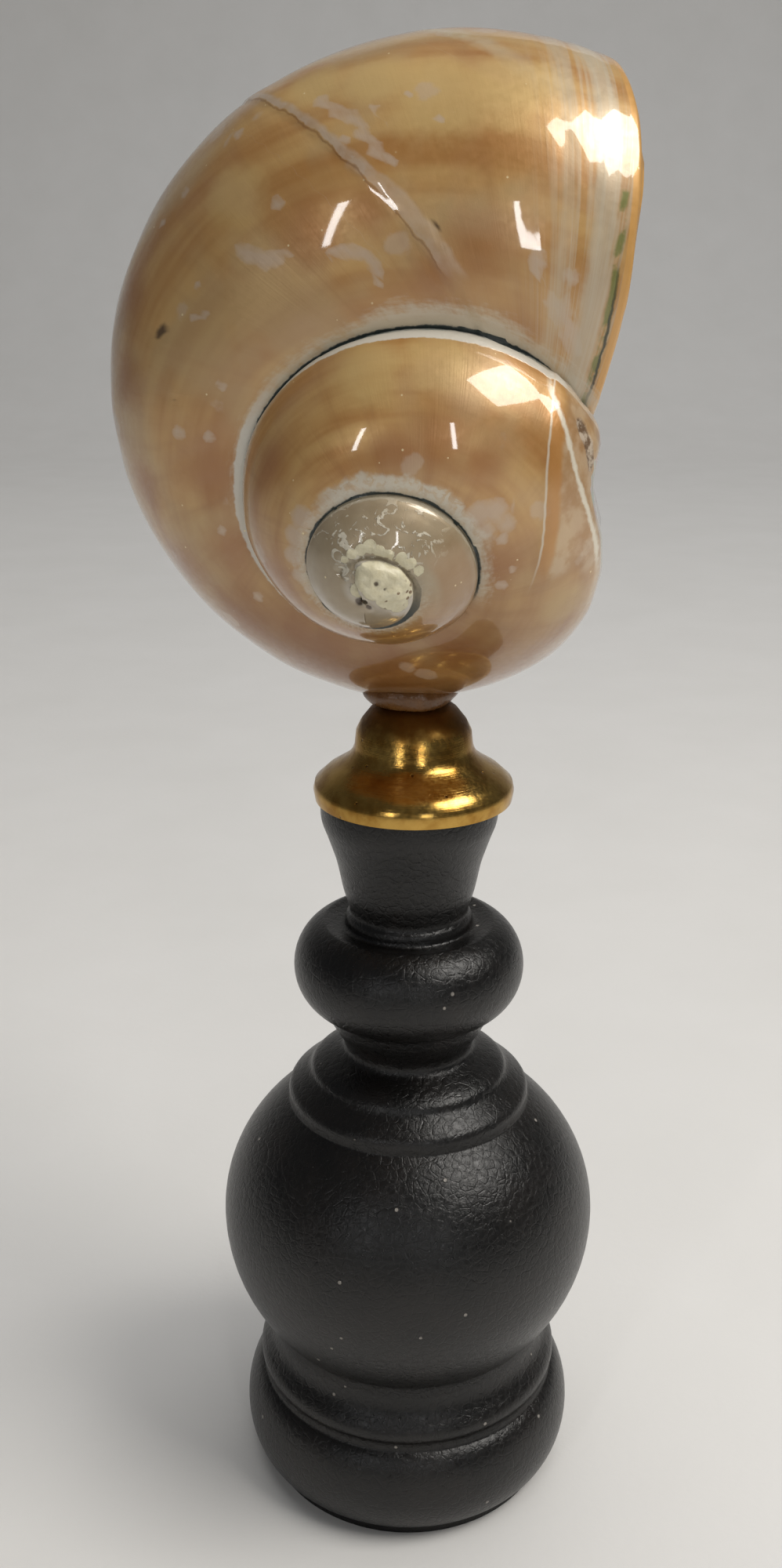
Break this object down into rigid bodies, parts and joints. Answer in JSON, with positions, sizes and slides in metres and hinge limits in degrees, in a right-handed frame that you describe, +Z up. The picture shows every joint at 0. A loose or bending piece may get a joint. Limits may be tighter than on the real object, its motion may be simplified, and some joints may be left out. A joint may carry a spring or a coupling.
{
  "type": "polished turban shell on a turned stand",
  "caption": "Polished pearly turban shell with an open mouth, glued to a brass cap on a black turned wooden stand.",
  "frame": {"origin": "centre of the stand's flat foot, on the surface it stands on", "axes": "+Z up along the stand, -Y towards the shell's apex, +X towards the shell's mouth"},
  "size_m": [0.0579, 0.0517, 0.1777],
  "materials": {
    "black_wood": "satin black paint over turned wood, with a fine leathery skin and small dust specks",
    "brass": "polished, with fine turning lines, pits and brown tarnish near the top",
    "glue": "hard yellow brown glue with a glossy skin",
    "nacre": "polished amber nacre with pale blotches, white growth scars and a dark line along the suture"
  },
  "bodies": {
    "root": {"stand": "black_wood", "cap": "brass", "glue": "glue", "shell": "nacre"}
  },
  "joints": []
}
